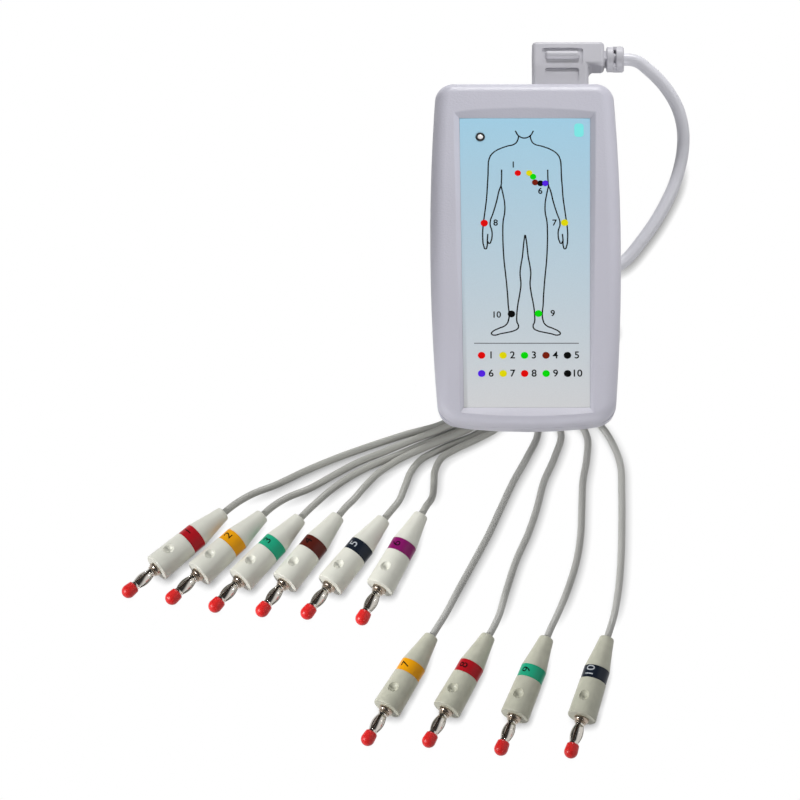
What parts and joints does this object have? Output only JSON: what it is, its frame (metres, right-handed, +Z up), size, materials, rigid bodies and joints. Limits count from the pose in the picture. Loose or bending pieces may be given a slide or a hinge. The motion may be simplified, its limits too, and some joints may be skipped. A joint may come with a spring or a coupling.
{
  "type": "ecg recorder with patient cable",
  "caption": "Flat hand-sized resting ECG recorder with a framed face label and a plug-in patient cable that splits into colour-coded leads ending in spring pin plugs.",
  "frame": {"origin": "on the table under the middle of the recorder", "axes": "+X to the right of the face, +Y from the near end towards the cable socket, +Z up from the table, out of the face"},
  "size_m": [0.2242, 0.2978, 0.034],
  "materials": {
    "case_plastic": "fine spark-eroded texture, lavender grey",
    "label_film": "printed film, blue fading to grey",
    "black_plastic": "moulded, black",
    "light_pipe": "clear-white light pipe",
    "steel": "zinc plated",
    "cell_wrap": "printed cell jacket",
    "contact_metal": "gold flashed contacts",
    "circuit_board": "solder mask",
    "shield_can": "tin plated sheet",
    "cable_plastic": "moulded soft plastic, grey",
    "trunk_jacket": "smooth cable jacket",
    "lead_jacket": "smooth lead jacket, grey",
    "sleeve_plastic": "moulded sleeve, cream white",
    "band_red": "coloured ring",
    "band_amber": "coloured ring",
    "band_green": "coloured ring",
    "band_brown": "coloured ring",
    "band_black": "coloured ring",
    "band_violet": "coloured ring",
    "collar_metal": "turned collar",
    "pin_metal": "nickel plated",
    "tip_red": "moulded tip"
  },
  "bodies": {
    "recorder": {"front_shell": "case_plastic", "rear_shell": "case_plastic", "face_label": "label_film", "led_ring": "black_plastic", "led_lens": "light_pipe", "case_screws": "steel", "battery_cells": "cell_wrap", "battery_contacts": "contact_metal", "main_board": "circuit_board", "board_screws": "steel", "board_chips": "black_plastic", "radio_module": "shield_can", "cable_socket": "shield_can", "socket_insert": "black_plastic", "socket_pins": "contact_metal"},
    "door": {"battery_door": "case_plastic"},
    "patient_cable": {"plug_hood": "cable_plastic", "plug_shell": "shield_can", "plug_insert": "black_plastic", "trunk_relief": "cable_plastic", "trunk_cable": "trunk_jacket", "yoke_base": "cable_plastic", "yoke_top": "cable_plastic", "yoke_screws": "steel", "splitter_board": "circuit_board", "yoke_boot": "cable_plastic", "lead_grommet": "lead_jacket", "lead_chest_1": "lead_jacket", "lead_chest_2": "lead_jacket", "lead_chest_3": "lead_jacket", "lead_chest_4": "lead_jacket", "lead_chest_5": "lead_jacket", "lead_chest_6": "lead_jacket", "lead_left_arm": "lead_jacket", "lead_right_arm": "lead_jacket", "lead_left_leg": "lead_jacket", "lead_right_leg": "lead_jacket", "sleeve_chest_1": "sleeve_plastic", "sleeve_chest_2": "sleeve_plastic", "sleeve_chest_3": "sleeve_plastic", "sleeve_chest_4": "sleeve_plastic", "sleeve_chest_5": "sleeve_plastic", "sleeve_chest_6": "sleeve_plastic", "sleeve_left_arm": "sleeve_plastic", "sleeve_right_arm": "sleeve_plastic", "sleeve_left_leg": "sleeve_plastic", "sleeve_right_leg": "sleeve_plastic", "band_red": "band_red", "band_amber": "band_amber", "band_green": "band_green", "band_brown": "band_brown", "band_black": "band_black", "band_violet": "band_violet", "pin_collars": "collar_metal", "pin_cores": "pin_metal", "pin_springs": "pin_metal", "pin_tips": "tip_red"}
  },
  "joints": [
    {"name": "door_slide", "type": "slide", "parent": "recorder", "child": "door", "axis": [0, -1, 0], "range_m": [0, 0.005]},
    {"name": "cable_pull", "type": "slide", "parent": "recorder", "child": "patient_cable", "axis": [0, 1, 0], "range_m": [0, 0.012]}
  ]
}
